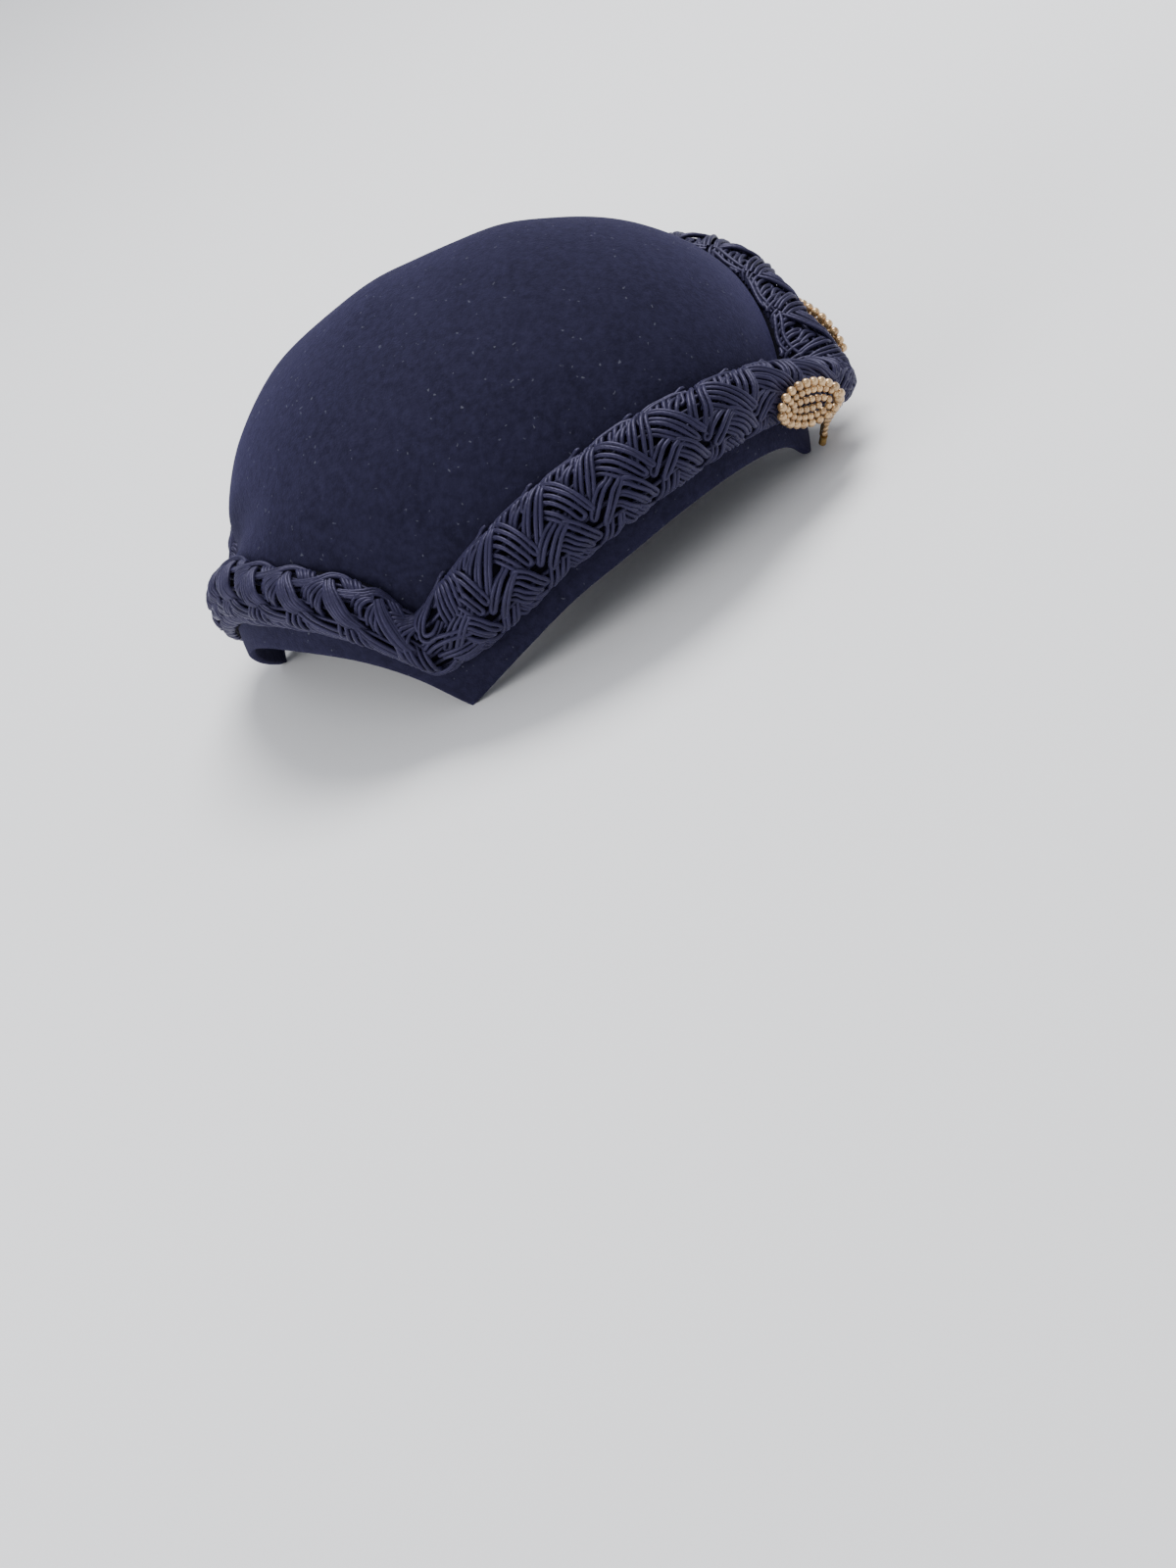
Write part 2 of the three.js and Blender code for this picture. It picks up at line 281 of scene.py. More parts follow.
class NodeMaker:
    """Adds nodes to a tree from left to right, and links them by socket name."""

    def __init__(self, tree):
        self.tree = tree
        self.column = 0

    def add(self, kind, links=(), **settings):
        """Adds a node, sets its settings, and links or sets its inputs."""
        node = self.tree.nodes.new(kind)
        node.location = (200 * self.column, -300)
        self.column += 1
        for key, value in settings.items():
            setattr(node, key, value)
        for socket, source in dict(links).items():
            self.feed(node.inputs[socket], source)
        return node

    def feed(self, socket, source):
        """Links a socket to a source, or sets it."""
        if isinstance(source, bpy.types.NodeSocket):
            self.tree.links.new(source, socket)
        else:
            socket.default_value = source

    def math(self, operation, *values):
        """The outcome of a sum on numbers."""
        return self.add("ShaderNodeMath", dict(enumerate(values)), operation=operation).outputs[0]


class TreeMaker(NodeMaker):
    """Makes a Geometry Nodes tree that bare paths run through, node after node."""

    def __init__(self, name, sockets):
        super().__init__(bpy.data.node_groups.new(name, "GeometryNodeTree"))
        face = self.tree.interface
        face.new_socket("Geometry", in_out="INPUT", socket_type="NodeSocketGeometry")
        for label, kind, default in (*sockets, ("Material", "Material", None)):
            socket = face.new_socket(label, in_out="INPUT", socket_type=f"NodeSocket{kind}")
            if default is not None:
                socket.default_value = default
        face.new_socket("Geometry", in_out="OUTPUT", socket_type="NodeSocketGeometry")
        self.given = self.add("NodeGroupInput").outputs
        self.last = self.given["Geometry"]

    def then(self, kind, links=(), **settings):
        """Adds a node that the geometry goes on through."""
        node = self.add(f"GeometryNode{kind}", links, **settings)
        self.tree.links.new(self.last, node.inputs[0])
        self.last = node.outputs[0]

    def follow(self, steps):
        """Makes the bare paths smooth curves, with a number of steps from spot to spot."""
        self.then("MeshToCurve")
        self.then("CurveSplineType", spline_type="CATMULL_ROM")
        self.then("SetSplineResolution", {"Resolution": steps})

    def keep(self, name, value, domain="POINT"):
        """Keeps a number on the geometry under a name."""
        links = {"Name": name, "Value": value}
        self.then("StoreNamedAttribute", links, data_type="FLOAT", domain=domain)

    def random(self, low, high, seed):
        """A random number for each point or instance."""
        links = {"Min": low, "Max": high, "Seed": seed}
        return self.add("FunctionNodeRandomValue", links, data_type="FLOAT").outputs[1]

    def finish(self):
        """Ends the tree in a smooth, real mesh with its material."""
        self.then("SetShadeSmooth")
        self.then("RealizeInstances")
        self.then("SetMaterial", {"Material": self.given["Material"]})
        self.add("NodeGroupOutput", {"Geometry": self.last})
        return self.tree


def cord_tree():
    """Sweeps a round cord along each path, and keeps what its twist is drawn from."""
    make = TreeMaker("Cord along a path", [
        ("Radius", "Float", 0.0007),
        ("Steps", "Int", 4),
        ("Sides", "Int", 8),
    ])
    make.follow(make.given["Steps"])
    spot = make.add("GeometryNodeSplineParameter")
    make.keep("along", spot.outputs["Length"])
    make.then("ResampleCurve", mode="EVALUATED")
    ends = make.add("GeometryNodeCurveEndpointSelection", {"Start Size": 1, "End Size": 1})
    make.then("SetCurveRadius", {"Selection": ends.outputs["Selection"], "Radius": CORD_END})
    path = make.last
    size = {"Resolution": make.given["Sides"], "Radius": make.given["Radius"]}
    make.last = make.add("GeometryNodeCurvePrimitiveCircle", size).outputs["Curve"]
    make.keep("around", spot.outputs["Factor"])
    ring, make.last = make.last, path
    make.then("CurveToMesh", {"Profile Curve": ring, "Fill Caps": True})
    return make.finish()


def pearl_tree():
    """Strings round pearls along each path, a little unlike each other in size and tone."""
    make = TreeMaker("Pearls along a path", [
        ("Diameter", "Float", 0.003),
        ("Pitch", "Float", 0.0032),
        ("Seed", "Int", 7),
    ])
    make.follow(PEARL_STEPS)
    make.then("ResampleCurve", {"Length": make.given["Pitch"]}, mode="LENGTH")
    half = make.math("MULTIPLY", make.given["Diameter"], 0.5)
    pearl = make.add("GeometryNodeMeshIcoSphere", {"Radius": half, "Subdivisions": 3})
    size = make.random(*PEARL_SIZES, make.given["Seed"])
    make.then("InstanceOnPoints", {"Instance": pearl.outputs["Mesh"], "Scale": size})
    make.keep("tone", make.random(0, 1, PEARL_TONE_SEED), "INSTANCE")
    return make.finish()


# ---- materials ----


def colour(rgb, gain=1.0):
    """A colour with its alpha, brightened by gain."""
    return (*[channel * gain for channel in rgb], 1.0)


COOL_GLEAM = colour((0.6, 0.56, 1.0))
COOL_NAP = colour((0.42, 0.38, 1.0))
LINT_CELLS, LINT_STRAY, LINT_STRENGTH = 520, 0.0022, 0.26


class Finish(NodeMaker):
    """A material's node tree, with its shader and its place on the cap at hand."""

    def __init__(self, name, looks):
        self.material = bpy.data.materials.new(name)
        self.material.use_nodes = True
        super().__init__(self.material.node_tree)
        self.shader = self.tree.nodes["Principled BSDF"]
        for look, value in looks.items():
            self.shader.inputs[look].default_value = value
        self.place = self.add("ShaderNodeTexCoord").outputs["Object"]

    def kept(self, name):
        """A number that the geometry keeps under a name."""
        return self.add("ShaderNodeAttribute", attribute_name=name).outputs["Fac"]

    def ramp(self, source, low, high):
        """A number stretched so that low becomes 0 and high becomes 1."""
        links = {"Value": source, "From Min": low, "From Max": high}
        return self.add("ShaderNodeMapRange", links).outputs["Result"]

    def mix(self, factor, first, second):
        """A colour between two."""
        node = self.add("ShaderNodeMix", data_type="RGBA")
        for socket, source in (("Factor", factor), (6, first), (7, second)):
            self.feed(node.inputs[socket], source)
        return node.outputs[2]

    def noise(self, scale, detail=2.0, rough=0.5, output="Fac"):
        """Soft noise, scale bumps to the metre."""
        links = {"Vector": self.place, "Scale": scale, "Detail": detail, "Roughness": rough}
        return self.add("ShaderNodeTexNoise", links).outputs[output]

    def paint(self, source):
        """Gives the shader its colour."""
        self.feed(self.shader.inputs["Base Color"], source)

    def emboss(self, height, strength, distance):
        """Raises the surface by a height that a pattern gives."""
        links = {"Height": height, "Strength": strength, "Distance": distance}
        self.feed(self.shader.inputs["Normal"], self.add("ShaderNodeBump", links).outputs["Normal"])


def felt_finish(props):
    """Wool felt: matte navy, mottled, with a soft nap and light specks of lint."""
    felt = Finish("navy felt", {
        "Roughness": 0.95,
        "Specular IOR Level": 0.15,
        "Specular Tint": COOL_GLEAM,
        "Sheen Weight": 0.07,
        "Sheen Roughness": 0.5,
        "Sheen Tint": COOL_NAP,
    })
    mottle = felt.ramp(felt.noise(60, 4.0, 0.6), 0.3, 0.72)
    fibres = felt.noise(1400, 3.0, 0.6)
    clumps = felt.noise(420, 3.0, 0.6)
    base = felt.mix(mottle, colour(props.colour, 0.8), colour(props.colour, 1.3))
    grained = felt.mix(felt.ramp(clumps, 0.35, 0.75), base, colour(props.colour, 1.9))
    stray = felt.noise(700, 1.0, 0.5, "Color")
    links = {0: stray, 1: (LINT_STRAY,) * 3, 2: felt.place}
    strayed = felt.add("ShaderNodeVectorMath", links, operation="MULTIPLY_ADD").outputs["Vector"]
    cells = felt.add("ShaderNodeTexVoronoi", {"Vector": strayed, "Scale": LINT_CELLS})
    near = felt.ramp(cells.outputs["Distance"], 0.22, 0.08)
    chance = felt.add("ShaderNodeSeparateColor", {"Color": cells.outputs["Color"]})
    rare = felt.math("GREATER_THAN", chance.outputs["Red"], 1 - props.lint)
    speck = felt.math("MULTIPLY", felt.math("MULTIPLY", near, rare), LINT_STRENGTH)
    felt.paint(felt.mix(speck, grained, colour(props.lint_colour)))
    felt.emboss(felt.math("ADD", fibres, clumps), 0.5, 0.0005)
    return felt.material


def cord_finish(props):
    """Rayon cord: dark slate navy with a slight sheen, finely twisted."""
    cord = Finish("slate cord", {
        "Roughness": 0.5,
        "Specular IOR Level": 0.42,
        "Specular Tint": colour((0.62, 0.58, 1.0)),
        "Sheen Weight": 0.1,
        "Sheen Roughness": 0.4,
        "Sheen Tint": COOL_NAP,
    })
    patchy = cord.ramp(cord.noise(350, 3.0, 0.6), 0.35, 0.7)
    base = cord.mix(cord.kept("tone"), colour(props.colour, 0.75), colour(props.colour, 1.25))
    cord.paint(cord.mix(patchy, base, colour(props.colour, 1.5)))
    laid = cord.math("MULTIPLY", cord.kept("along"), 1000 / props.twist)
    wound = cord.math("ADD", laid, cord.kept("around"))
    wave = cord.math("SINE", cord.math("MULTIPLY", wound, 2 * math.pi))
    cord.emboss(wave, 0.15, 0.0001)
    return cord.material


def roll_finish(props):
    """The trim's padding, darker than the cords for lying in their shade."""
    roll = Finish("trim roll", {"Roughness": 0.95, "Specular IOR Level": 0.1})
    fibres = roll.noise(900, 3.0, 0.6)
    dark, light = colour(props.colour, 0.2), colour(props.colour, 0.5)
    roll.paint(roll.mix(roll.ramp(fibres, 0.35, 0.7), dark, light))
    roll.emboss(fibres, 0.4, 0.0003)
    return roll.material


def pearl_finish(props):
    """Imitation pearl: a golden coat over glass, browner in random patches of painted shade."""
    pearl = Finish("champagne pearl", {
        "Metallic": 0.6,
        "Roughness": 0.27,
        "Coat Weight": 0.8,
        "Coat Roughness": 0.07,
    })
    body = pearl.mix(pearl.kept("tone"), colour(props.colour, 0.7), colour(props.colour, 1.15))
    # Painted shade: random noise darkens the pearls towards a brown, for the shade between them.
    patchy = pearl.ramp(pearl.noise(420), 0.45, 0.75)
    pearl.paint(pearl.mix(patchy, body, colour(props.painted_shade_colour)))
    return pearl.material


def brass_finish():
    """Brass tube, a little tarnished."""
    brass = Finish("old brass", {"Metallic": 0.9, "Roughness": 0.3})
    dull = brass.ramp(brass.noise(700, 3.0, 0.6), 0.35, 0.7)
    brass.paint(brass.mix(dull, colour((0.62, 0.4, 0.13)), colour((0.3, 0.18, 0.06))))
    return brass.material


def thread_finish():
    """Pale cotton thread."""
    thread = Finish("pale thread", {"Roughness": 0.8})
    dark, light = colour((0.4, 0.32, 0.22)), colour((0.62, 0.52, 0.38))
    thread.paint(thread.mix(thread.noise(2500), dark, light))
    return thread.material


def floor_finish(props):
    """A plain pale floor."""
    floor = Finish("pale floor", {"Roughness": 0.9})
    dark, light = colour(props.floor_colour, 0.985), colour(props.floor_colour)
    floor.paint(floor.mix(floor.noise(3), dark, light))
    return floor.material


# ---- the felt crown ----

# Where the felt is creased, pressed flat and full: how far it stands off there, how far that
# reaches, and a line of places as turn and rise.
CROWN_FORMS = (
    (0.9, 12, ((-33, 67), (20, 66), (48, 52))),
    (-1.9, 30, ((-62, 72), (-134, 74), (-100, 82), (100, 74), (106, 66))),
    (2.6, 22, ((-168, 60), (176, 52))),
)
WAVE_HEIGHT = 0.25
FREE_HEIGHT, FREE_OVER = 4, 18  # how far above the trim the forms and waves set in
# Behind, the trim pulls the felt in just above it: how far in, how high above the trim and how
# far up and down from there, and the turns over which this sets in.
PINCH_DEPTH, PINCH_HEIGHT, PINCH_REACH, PINCH_EASE = 3.4, 9, 8, 5
PINCH_TURN, PINCH_OVER = 135, 25
HEM_ANGLES = (45, 90, 135)  # the spots round the hem's edge
HEM_DROP = 0.35  # how far the edge rounds down, for a half round of 1
POLE_RISE = 89.9


def section_turns(count):
    """Turns all the way round, among them the four points and one close by on either side."""
    corners = (0, SIDE_TURN, -SIDE_TURN)
    turns = list(np.linspace(-180, 180, count, endpoint=False))
    for point in (*corners, 180, -180):
        turns = [turn for turn in turns if abs(turn - point) > POINT_CLEAR * POINT_STEP]
    for point in corners:
        turns += [point - POINT_STEP, point, point + POINT_STEP]
    turns += [-180, -180 + POINT_STEP, 180 - POINT_STEP]
    return np.array(sorted(turns))


def band(count, low, high):
    """The faces between two rings of points."""
    for i in range(count):
        k = (i + 1) % count
        yield low * count + i, high * count + i, high * count + k, low * count + k


def closeness(points, line, reach):
    """How close points are to a line of places on the crown, 1 on it and 0 far from it."""
    places = [crown_point(np.array(float(turn)), np.array(float(rise))) for turn, rise in line]
    best = np.zeros(points.shape[:-1])
    for start, end in zip(places, places[1:]):
        along = end - start
        part = np.clip((points - start) @ along / (along @ along), 0, 1)
        gap = np.linalg.norm(points - start - part[..., None] * along, axis=-1)
        best = np.maximum(best, np.exp(-((gap / reach) ** 2)))
    return best


def crown_sway(points, turn):
    """How far the felt stands off the crown's plain form."""
    x, y, z = np.moveaxis(points, -1, 0)
    sway = WAVE_HEIGHT * np.sin(x / 17 + 1.3 * np.sin(y / 29)) * np.cos(y / 21 + 0.6)
    for height, reach, line in CROWN_FORMS:
        sway = sway + height * closeness(points, line, reach)
    height = z - arch_curve(turn, UPPER)
    free = np.clip((height - FREE_HEIGHT) / FREE_OVER, 0, 1)
    rear = np.clip((np.abs(turn) - PINCH_TURN) / PINCH_OVER, 0, 1)
    near = np.exp(-(((height - PINCH_HEIGHT) / PINCH_REACH) ** 2))
    pinch = -PINCH_DEPTH * rear * near * np.clip(height / PINCH_EASE, 0, 1)
    return sway * free * free * (3 - 2 * free) + pinch


def crown_mesh(props):
    """The felt shell as one closed wall, its hem rounded."""
    turns = section_turns(props.stations)
    count = len(turns)
    hem = rise_at(turns, np.maximum(0, arch_curve(turns, HEM)))
    felt = props.thickness / MM
    edge = felt / 2
    climb = np.linspace(0, 1, props.rows + 1)[:-1]

    def ring(part, depth):
        rise = hem + (90 - hem) * part
        base = crown_point(turns, rise)
        off = crown_sway(base, turns) - depth
        return base + crown_normal(turns, rise) * off[:, None]

    rings = [ring(part, 0) for part in climb[::-1]]
    level, out = rings[-1], crown_normal(turns, hem)
    for angle in np.radians(HEM_ANGLES):
        spot = level - out * edge * (1 - np.cos(angle))
        spot[:, 2] = np.maximum(level[:, 2] - HEM_DROP * edge * np.sin(angle), 0)
        rings.append(spot)
    rings += [ring(part, felt) for part in climb]
    pole = crown_point(np.zeros(1), np.full(1, POLE_RISE))
    pole[0, :2] = 0
    pole[0, 2] += crown_sway(pole, np.zeros(1))[0]
    points = np.concatenate([*rings, pole, pole - (0, 0, felt)])
    faces = [face for r in range(len(rings) - 1) for face in band(count, r, r + 1)]
    top, last = len(rings) * count, (len(rings) - 1) * count
    for i in range(count):
        k = (i + 1) % count
        faces += [(i, k, top), (last + k, last + i, top + 1)]
    return mesh_from("crown felt", to_frame(points), faces)


# ---- the corded trim ----

CORE_SECTIONS = 220
CORE_GIRTHS = np.linspace(0.04, 0.96, 13)
CORE_CLEAR, CORE_BACKING = 0.1, 0.06  # from the felt to the roll's face, and to its back


def trim_core_mesh(inset):
    """The dark roll that the cords are laid over, its back lying against the felt."""
    turns = section_turns(CORE_SECTIONS)
    count = len(turns)
    rings = []
    for girth in CORE_GIRTHS:
        lift = np.full(count, -inset * math.sin(math.pi * girth))
        rings.append(trim_point(turns, np.full(count, girth), lift, CORE_CLEAR))
    low, top = arch_curve(turns, LOWER), arch_curve(turns, UPPER)
    for part in (1, 0.75, 0.5, 0.25, 0):
        rise = rise_at(turns, low + (top - low) * part)
        rings.append(crown_point(turns, rise) + crown_normal(turns, rise) * CORE_BACKING)
    faces = [face for r in range(len(rings)) for face in band(count, r, (r + 1) % len(rings))]
    return mesh_from("trim core", to_frame(np.concatenate(rings)), faces)


# The cords of one repeat of the trim, as sheaves. A sheaf has its number of cords, whether they
# lie in pairs that are looped at their ends, and the ways of its first and last cord. A way is
# given by how far each spot is towards the front from the repeat's knot, by its girth and by
# its lift off the trim's round side.
FRONT_FIRST, FRONT_REPEAT = 21.3, 20.75
FRONT_CORDS = {
    "steep": (4, True,
     [(0.6, 0.875, 0.1), (-2.2, 0.79, 0.5), (-6.6, 0.64, 0.4), (-11, 0.5, -0.9)],
     [(-4.4, 0.9, -0.1), (-7.2, 0.83, 0.3), (-11, 0.72, 0.2), (-14.4, 0.61, -1)]),
    "short": (2, True,
     [(-7.2, 0.9, -0.6), (-9.6, 0.85, -0.2), (-12.4, 0.785, -0.3), (-14.6, 0.72, -1.2)],
     [(-8.8, 0.905, -0.6), (-11.2, 0.86, -0.3), (-13.8, 0.81, -0.4), (-15.6, 0.75, -1.2)]),
    "shallow": (6, True,
     [(-1.4, 0.89, -0.6), (1.2, 0.86, 0.3), (4.2, 0.78, 0.6), (7.2, 0.655, 0.6), (9.4, 0.535, 0.1)],
     [(-6.4, 0.7, -1.6), (-4.2, 0.655, -1.1), (-1.8, 0.59, -0.3), (0, 0.535, -0.2),
      (1.4, 0.475, -0.8)]),
    "low steep": (4, True,
     [(2.8, 0.57, -1.3), (0.4, 0.535, 0), (-2.6, 0.5, 0.4), (-6.2, 0.44, 0.3), (-9.4, 0.355, -0.7)],
     [(-1, 0.67, -1.5), (-3.6, 0.61, -0.9), (-7, 0.585, -0.2), (-10.4, 0.54, -0.1),
      (-13.2, 0.475, -1)]),
    "low shallow": (6, True,
     [(-1.6, 0.555, -0.7), (0.8, 0.545, 0.3), (3.4, 0.485, 0.5), (5.4, 0.41, 0.4),
      (7, 0.325, -0.2)],
     [(-6.8, 0.43, -1.5), (-4.6, 0.395, -1), (-3, 0.345, -0.2), (-1.8, 0.3, -0.3),
      (-0.8, 0.25, -0.8)]),
    "edge": (2, False,
     [(-1.8, 0.885, -0.3), (3, 0.905, 0.4), (8.4, 0.925, 0.4), (13.6, 0.92, 0.3),
      (17, 0.885, -0.4)],
     [(-0.8, 0.925, -0.3), (3.4, 0.945, 0.3), (8.6, 0.965, 0.3), (13.6, 0.96, 0.3),
      (16.8, 0.925, -0.4)]),
    "end": (1, False, [(12, 0.965, 0), (14.6, 0.97, 0.6), (16.4, 0.965, 1.1),
                       (17.6, 0.975, 1)], None),
    "crest": (8, True,
     [(0.4, 0.99, -1.2), (-1, 0.95, -0.2), (-3, 0.89, -0.1), (-4.8, 0.83, -0.9)],
     [(18.6, 0.99, -1.2), (16.6, 0.95, -0.2), (14.2, 0.89, -0.1), (12.2, 0.83, -0.9)]),
    "under steep": (4, True,
     [(-4.5, 0.32, -2), (-6.6, 0.23, -0.4), (-8.8, 0.16, -0.4), (-10.5, 0.09, -0.8)],
     [(-10, 0.38, -2.2), (-12, 0.28, -0.5), (-13.8, 0.2, -0.5), (-15.4, 0.11, -0.8)]),
    "under shallow": (6, True,
     [(-1, 0.32, -2.2), (1.8, 0.23, -0.4), (4.4, 0.16, -0.4), (6.8, 0.09, -0.8)],
     [(-7, 0.24, -2.2), (-5.2, 0.17, -0.5), (-3.6, 0.12, -0.5), (-2.2, 0.07, -0.8)]),
}
REAR_FIRST, REAR_REPEAT = 13.5, 19.0
REAR_CORDS = {
    "leaf": (6, False,
     [(-0.6, 0.82, 0), (0.2, 0.72, 0.5), (2, 0.61, 0.5), (5.4, 0.51, 0.1), (9.8, 0.43, -2.6)],
     [(1.6, 0.88, 0.2), (3.8, 0.79, 0.5), (6.6, 0.7, 0.5), (9.4, 0.6, 0.1), (12.4, 0.47, -2.6)]),
    "fan": (6, False,
     [(-0.8, 0.845, 0.3), (-4, 0.83, 0.5), (-7.6, 0.77, 0.3), (-10.6, 0.68, -2.2)],
     [(0, 0.76, 0.1), (-0.6, 0.68, 0.4), (-1.6, 0.59, 0.2), (-2.4, 0.48, -2.2)]),
    "ribs": (5, False,
     [(2.6, 0.985, -0.6), (4.4, 0.93, 0.1), (6.8, 0.86, 0), (8.8, 0.78, -1.8)],
     [(10.4, 0.985, -0.6), (11.6, 0.93, 0.1), (13.2, 0.86, 0), (14.8, 0.78, -1.8)]),
    "spine": (3, False,
     [(-15, 0.76, -0.5), (-9, 0.775, 0.1), (-3.4, 0.81, 0.7), (0.6, 0.9, 0.8), (4.8, 0.945, 0.4),
      (9, 0.92, -0.6)],
     [(-14, 0.8, -0.5), (-8.6, 0.815, 0.1), (-3.6, 0.86, 0.6), (0.2, 0.95, 0.7), (4.6, 0.98, 0.4),
      (8.8, 0.97, -0.4)]),
    "short": (4, False,
     [(3.6, 0.49, -1.1), (3.2, 0.43, -0.3), (2.6, 0.36, -0.2), (2.2, 0.29, -0.7)],
     [(9.6, 0.45, -1.1), (9.8, 0.4, -0.4), (10.2, 0.34, -0.3), (10.8, 0.27, -0.7)]),
    "long": (3, False,
     [(-10, 0.54, -1.4), (-5.4, 0.46, -0.6), (1, 0.4, -0.7), (8.6, 0.38, -1.3)],
     [(-11, 0.44, -1.2), (-5.8, 0.36, -0.5), (0.6, 0.31, -0.5), (8, 0.3, -1.1)]),
    "under": (8, True,
     [(3, 0.3, -1.2), (5, 0.23, -0.7), (7.4, 0.15, -0.6), (9.4, 0.08, -0.8)],
     [(-12, 0.3, -1.2), (-10, 0.23, -0.7), (-7.6, 0.15, -0.6), (-5.6, 0.08, -0.8)]),
}

# Sheaves laid over the trim at its corners, measured from the side point towards the front, or
# from the front or back point towards the wearer's right.
SIDE_CORDS = (
    (6, False,
     [(13, 0.9, 0), (13.4, 0.8, 0.7), (13.6, 0.67, 0.8), (13.4, 0.52, -2.2)],
     [(19.8, 0.91, 0.1), (22.4, 0.81, 0.8), (23.2, 0.68, 0.7), (21.8, 0.53, -2.2)]),
    (2, True,
     [(1.6, 0.58, -0.3), (6.6, 0.59, 0.8), (13, 0.55, 1), (20, 0.47, -0.2)],
     [(1.8, 0.54, -0.3), (6.6, 0.55, 0.8), (12.6, 0.515, 1), (19.4, 0.435, -0.2)]),
    (2, True,
     [(4.4, 0.42, -0.8), (7.4, 0.41, 0), (12, 0.38, 0.3), (17.4, 0.35, -0.4)],
     [(5.4, 0.38, -0.8), (8.4, 0.37, 0), (12.6, 0.34, 0.3), (16.8, 0.31, -0.4)]),
    (4, True,
     [(8, 0.3, -0.8), (11, 0.28, 0), (15, 0.27, 0.2), (19.6, 0.27, -0.5)],
     [(8.6, 0.17, -0.8), (11.4, 0.15, -0.2), (15, 0.14, -0.1), (19, 0.15, -0.6)]),
    (2, False,
     [(12.6, 0.9, 0.1), (10.2, 0.84, 0.7), (6.4, 0.77, 0.9), (5, 0.68, 0.9), (8.4, 0.64, 0.6),
      (11.2, 0.69, -1.4)],
     [(10.8, 0.92, 0.1), (8.4, 0.86, 0.7), (4.4, 0.79, 0.8), (2.8, 0.67, 0.7), (7.4, 0.6, 0.4),
      (12.4, 0.65, -1.6)]),
    (2, False,
     [(6.4, 0.94, -0.2), (3.4, 0.87, 0.5), (1.4, 0.78, 0.7), (2.4, 0.66, -0.3)],
     [(3.4, 0.96, -0.2), (1.4, 0.9, 0.5), (-0.6, 0.8, 0.6), (0.4, 0.68, -0.3)]),
    (5, False,
     [(-10, 0.62, -1.8), (-8.2, 0.52, 0.5), (-7.6, 0.4, 0.5), (-8, 0.27, -2)],
     [(1.4, 0.64, -1.6), (2.2, 0.52, 0.8), (2.4, 0.38, 0.6), (2, 0.23, -2)]),
    (7, False,
     [(1.4, 0.9, 0), (-2.6, 0.87, 0.5), (-7.4, 0.8, 0.4), (-12, 0.7, -2.2)],
     [(1, 0.76, 0.2), (-1.6, 0.71, 0.7), (-3.8, 0.63, 0.5), (-5.6, 0.52, -2.2)]),
    (4, False,
     [(-6, 0.26, -0.6), (-2, 0.24, -0.2), (4, 0.24, -0.2), (9, 0.27, -0.6)],
     [(-6, 0.1, -0.6), (-2, 0.09, -0.3), (4, 0.09, -0.3), (9, 0.12, -0.6)]),
)
POINT_CORDS = (
    (4, True,
     [(-8, 0.46, -1.2), (-3, 0.44, -0.5), (3, 0.44, -0.5), (8, 0.46, -1.2)],
     [(-7, 0.22, -0.9), (-2.6, 0.19, -0.2), (2.6, 0.19, -0.2), (7, 0.22, -0.9)]),
    (2, False,
     [(-6, 0.12, -0.3), (-2, 0.1, 0.2), (2, 0.1, 0.2), (6, 0.12, -0.3)],
     [(-6, 0.06, -0.3), (-2, 0.05, 0), (2, 0.05, 0), (6, 0.06, -0.3)]),
)
# The long cords laid first, that show in the gaps: girth and lift.
LONG_CORDS = (
    (0.08, -1.2), (0.2, -1.7), (0.33, -1.9), (0.46, -1.9),
    (0.6, -1.9), (0.74, -1.8), (0.87, -1.4), (0.95, -1),
)
PAIR_GAP = 1.45  # between pairs, in widths of a pair
LOOP_REACH, LOOP_DIP = 0.8, 0.15  # how far a pair's loop reaches on, and dips
MM_PER_GIRTH = 37
# How far cords stray at random in run, girth and lift: a whole sheaf, a cord, and each spot.
SHEAF_STRAY, CORD_STRAY, SPOT_STRAY = (0.45, 0.008, 0.1), (0.14, 0.004, 0.12), (0.1, 0.003)
SHEAF_HUMP = 0.25  # how much higher a sheaf's middle cords lie
GIRTH_LEAST, GIRTH_MOST = 0.03, 0.985
TRIM_SEED = 20
FRONT_REPEATS, REAR_REPEATS = 10, 9
LATE_CORDS = ("steep", "short")  # left out of the two repeats nearest the side point
# The runs that the cords of the repeats keep within.
FRONT_LIMITS = (-7, SIDE_RUN - 3)
REAR_LIMITS = (SIDE_RUN + 0.5, BACK_RUN + 7)
LONG_STEP = 9  # between the spots of a long cord
# The run and girth up to which cords lie under a scroll, and the most that they lift there.
SCROLL_REACH, SCROLL_GIRTHS, SCROLL_PRESS = 52, 0.6, -0.45
# How far the upper cords stand proud, most at a run half way along the front.
PROUD = {1: 0.7, -1: 1.7}  # more on the left
PROUD_RUN, PROUD_REACH = 58, 42
PROUD_GIRTH, PROUD_OVER = 0.55, 0.15


def sheaf_parts(count, paired):
    """Where each cord of a sheaf lies between its first and last."""
    if not paired:
        return [i / max(count - 1, 1) for i in range(count)]
    pairs = count // 2
    width = 1 / (pairs + (pairs - 1) * PAIR_GAP)
    starts = [pair * width * (1 + PAIR_GAP) for pair in range(pairs)]
    return [part for start in starts for part in (start, start + width)]


def settle(run, girth, lift, proud):
    """Lowers cords under the pearl scrolls and lets them stand a little proud above."""
    at = abs(run)
    if at < SCROLL_REACH and girth < SCROLL_GIRTHS:
        return min(lift, SCROLL_PRESS)
    near = max(0.0, 1 - abs(at - PROUD_RUN) / PROUD_REACH)
    rise = near * min(max((girth - PROUD_GIRTH) / PROUD_OVER, 0), 1)
    return lift + proud * rise


def stray(rng, spreads):
    """How far something strays by chance in each of its measures."""
    return [rng.gauss(0, spread) for spread in spreads]


